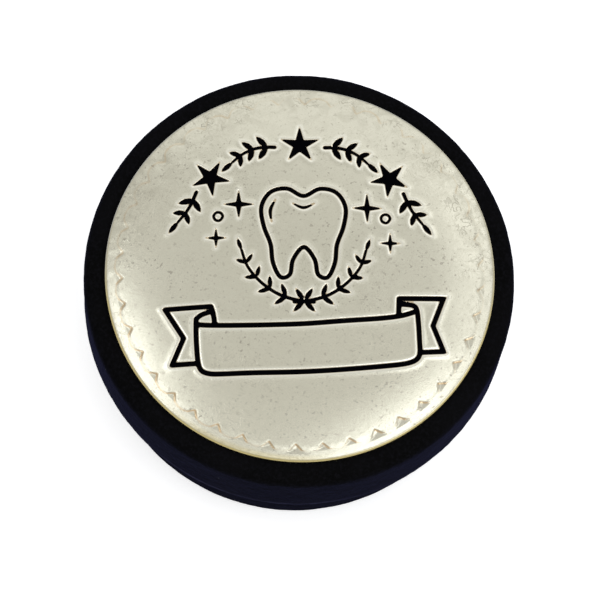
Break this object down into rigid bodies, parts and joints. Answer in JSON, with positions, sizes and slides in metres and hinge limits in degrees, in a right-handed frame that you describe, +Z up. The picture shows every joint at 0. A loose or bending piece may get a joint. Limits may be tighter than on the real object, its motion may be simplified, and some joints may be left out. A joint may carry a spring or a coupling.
{
  "type": "keepsake tooth box",
  "caption": "Round velvet-covered keepsake box for a first milk tooth, with a lift-off lid, a domed stamped metal plaque with a scalloped border, and a satin-lined well.",
  "frame": {"origin": "centre of the underside, on the surface the box stands on", "axes": "+Z up along the box's axis; +Y is the top of the plaque's design, +X its right"},
  "size_m": [0.04, 0.04, 0.019],
  "materials": {
    "velvet": "matte short-pile velvet, near-black navy",
    "silver": "satin silver plate with a fine speckle",
    "moulded_core": "matte moulded plastic",
    "felt": "matte felt",
    "satin": "ivory satin",
    "lining_paper": "flocked paper",
    "card": "grey board",
    "foam": "open-cell foam",
    "backing": "stiff backing board",
    "tape": "adhesive film"
  },
  "bodies": {
    "base": {"base_shell": "moulded_core", "base_velvet": "velvet", "base_felt": "felt", "wall_lining_card": "card", "wall_lining": "satin", "floor_card": "card", "floor_foam": "foam", "floor_cushion": "satin"},
    "lid": {"lid_shell": "moulded_core", "lid_velvet": "velvet", "lid_lining_paper": "lining_paper", "lid_lining_card": "card", "lid_lining_foam": "foam", "lid_lining_satin": "satin", "plaque_sheet": "silver", "plaque_backing": "backing", "plaque_tape": "tape"}
  },
  "joints": [
    {"name": "lid_lift", "type": "slide", "parent": "base", "child": "lid", "axis": [0, 0, 1], "range_m": [0, 0.03]}
  ]
}
